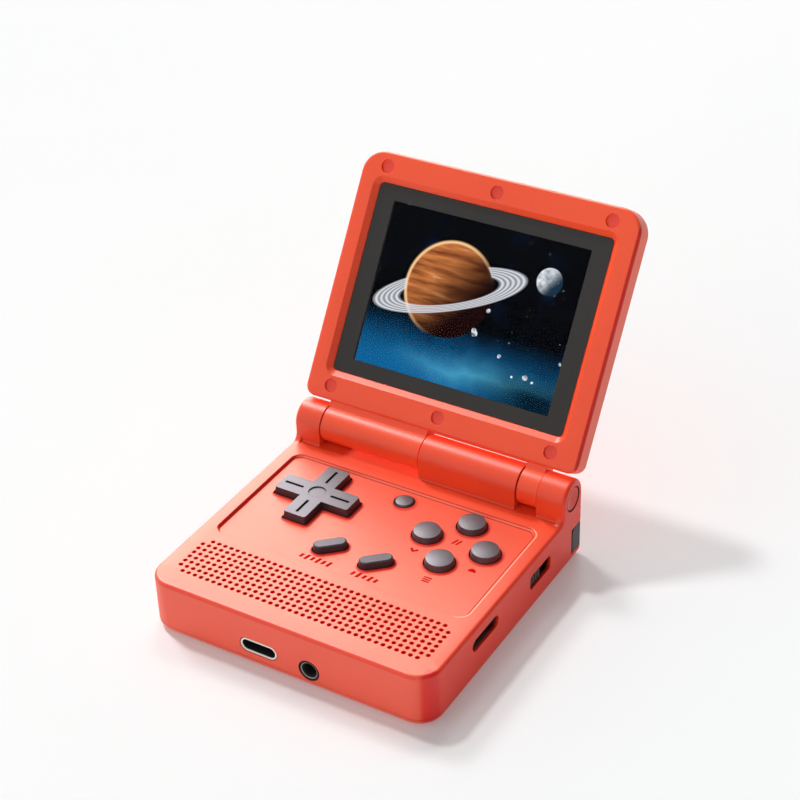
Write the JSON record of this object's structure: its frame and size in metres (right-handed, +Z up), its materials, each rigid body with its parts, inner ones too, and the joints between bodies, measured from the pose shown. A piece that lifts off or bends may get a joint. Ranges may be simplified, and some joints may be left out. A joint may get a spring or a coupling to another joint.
{
  "type": "clamshell handheld game console",
  "caption": "Pocket game console with a hinged screen lid, cross pad, round and pill keys, speaker grille, side ports and shoulder keys, shown open.",
  "frame": {"origin": "on the table, in the middle of the opened console's overall length and width", "axes": "+X to the user's right along the hinge, +Y from the front wall to the hinge, +Z up from the table"},
  "size_m": [0.0828, 0.1183, 0.0859],
  "materials": {
    "shell": "satin orange-red moulded plastic",
    "button": "satin warm grey plastic",
    "black": "matt black plastic",
    "inner_plastic": "dark inner plastic",
    "steel": "plated steel",
    "board": "glass-fibre circuit board with green mask",
    "battery": "wrapped battery pack",
    "foam": "black foam",
    "silicone": "translucent silicone",
    "rubber": "black rubber",
    "flex": "amber flexible circuit",
    "window": "clear window",
    "display": "display panel"
  },
  "bodies": {
    "base": {"top_case": "shell", "bottom_case": "shell", "battery_cover": "shell", "battery": "battery", "battery_contacts": "black", "main_board": "board", "speaker_left": "black", "speaker_right": "black", "speaker_gaskets": "foam", "usb_port": "steel", "headphone_jack": "black", "card_reader": "steel", "power_switch": "black", "volume_pot": "black", "dpad_post": "inner_plastic", "dpad_mat": "silicone", "face_mat": "silicone", "small_key_mat": "silicone", "shoulder_pins": "steel", "shoulder_switches": "black", "case_screws": "steel", "cover_screw": "steel", "rubber_feet": "rubber", "hinge_cap_left": "shell", "hinge_cap_right": "shell", "hinge_pin": "steel", "hinge_sleeve": "steel", "hinge_spring": "steel", "hinge_cam": "steel", "display_cable_base": "flex"},
    "lid": {"lid_front": "shell", "lid_back": "shell", "screen_glass": "window", "display_panel": "display", "display_board": "board", "lid_screws": "steel", "screw_caps": "shell", "display_cable_lid": "flex", "hinge_shaft": "steel"},
    "dpad": {"dpad": "button"},
    "dpad_rocker": {"dpad_rocker": "inner_plastic"},
    "power_slider": {"power_slider": "black"},
    "volume_wheel": {"volume_wheel": "black"},
    "shoulder_left": {"shoulder_left": "black"},
    "shoulder_right": {"shoulder_right": "black"},
    "face_button_top": {"face_button_top": "button"},
    "face_button_left": {"face_button_left": "button"},
    "face_button_right": {"face_button_right": "button"},
    "face_button_bottom": {"face_button_bottom": "button"},
    "menu_button": {"menu_button": "button"},
    "select_button": {"select_button": "button"},
    "start_button": {"start_button": "button"}
  },
  "joints": [
    {"name": "lid_hinge", "type": "hinge", "parent": "base", "child": "lid", "pos_m": [0, 0.01547, 0.02085], "axis": [1, 0, 0], "range_deg": [-27.1, 122.9]},
    {"name": "face_button_top_press", "type": "slide", "parent": "base", "child": "face_button_top", "axis": [0, 0, -1], "range_m": [0, 0.0008], "stiffness_N_per_m": 600, "springref_m": -0.0005, "deforming": ["face_mat"]},
    {"name": "face_button_left_press", "type": "slide", "parent": "base", "child": "face_button_left", "axis": [0, 0, -1], "range_m": [0, 0.0008], "stiffness_N_per_m": 600, "springref_m": -0.0005},
    {"name": "face_button_right_press", "type": "slide", "parent": "base", "child": "face_button_right", "axis": [0, 0, -1], "range_m": [0, 0.0008], "stiffness_N_per_m": 600, "springref_m": -0.0005},
    {"name": "face_button_bottom_press", "type": "slide", "parent": "base", "child": "face_button_bottom", "axis": [0, 0, -1], "range_m": [0, 0.0008], "stiffness_N_per_m": 600, "springref_m": -0.0005},
    {"name": "menu_button_press", "type": "slide", "parent": "base", "child": "menu_button", "axis": [0, 0, -1], "range_m": [0, 0.0008], "stiffness_N_per_m": 600, "springref_m": -0.0005, "deforming": ["small_key_mat"]},
    {"name": "select_button_press", "type": "slide", "parent": "base", "child": "select_button", "axis": [0, 0, -1], "range_m": [0, 0.0008], "stiffness_N_per_m": 600, "springref_m": -0.0005},
    {"name": "start_button_press", "type": "slide", "parent": "base", "child": "start_button", "axis": [0, 0, -1], "range_m": [0, 0.0008], "stiffness_N_per_m": 600, "springref_m": -0.0005},
    {"name": "dpad_rock_sideways", "type": "hinge", "parent": "base", "child": "dpad_rocker", "pos_m": [-0.0215, -0.00968, 0.01045], "axis": [0, 1, 0], "range_deg": [-3, 3], "stiffness_Nm_per_rad": 0.5, "deforming": ["dpad_mat"]},
    {"name": "dpad_rock_forward", "type": "hinge", "parent": "dpad_rocker", "child": "dpad", "pos_m": [-0.0215, -0.00968, 0.01195], "axis": [1, 0, 0], "range_deg": [-3, 3], "stiffness_Nm_per_rad": 0.5},
    {"name": "power_slide", "type": "slide", "parent": "base", "child": "power_slider", "axis": [0, 1, 0], "range_m": [0, 0.0034]},
    {"name": "volume_turn", "type": "hinge", "parent": "base", "child": "volume_wheel", "pos_m": [-0.0348, -0.02918, 0.0099], "axis": [0, 0, 1], "range_deg": [-130, 130]},
    {"name": "shoulder_right_press", "type": "hinge", "parent": "base", "child": "shoulder_right", "pos_m": [0.0253, 0.01822, 0.0033], "axis": [0, 0, 1], "range_deg": [-1.4, 0], "stiffness_Nm_per_rad": 0.6, "springref_deg": 1.72},
    {"name": "shoulder_left_press", "type": "hinge", "parent": "base", "child": "shoulder_left", "pos_m": [-0.0253, 0.01822, 0.0033], "axis": [0, 0, 1], "range_deg": [0, 1.4], "stiffness_Nm_per_rad": 0.6, "springref_deg": -1.72}
  ]
}
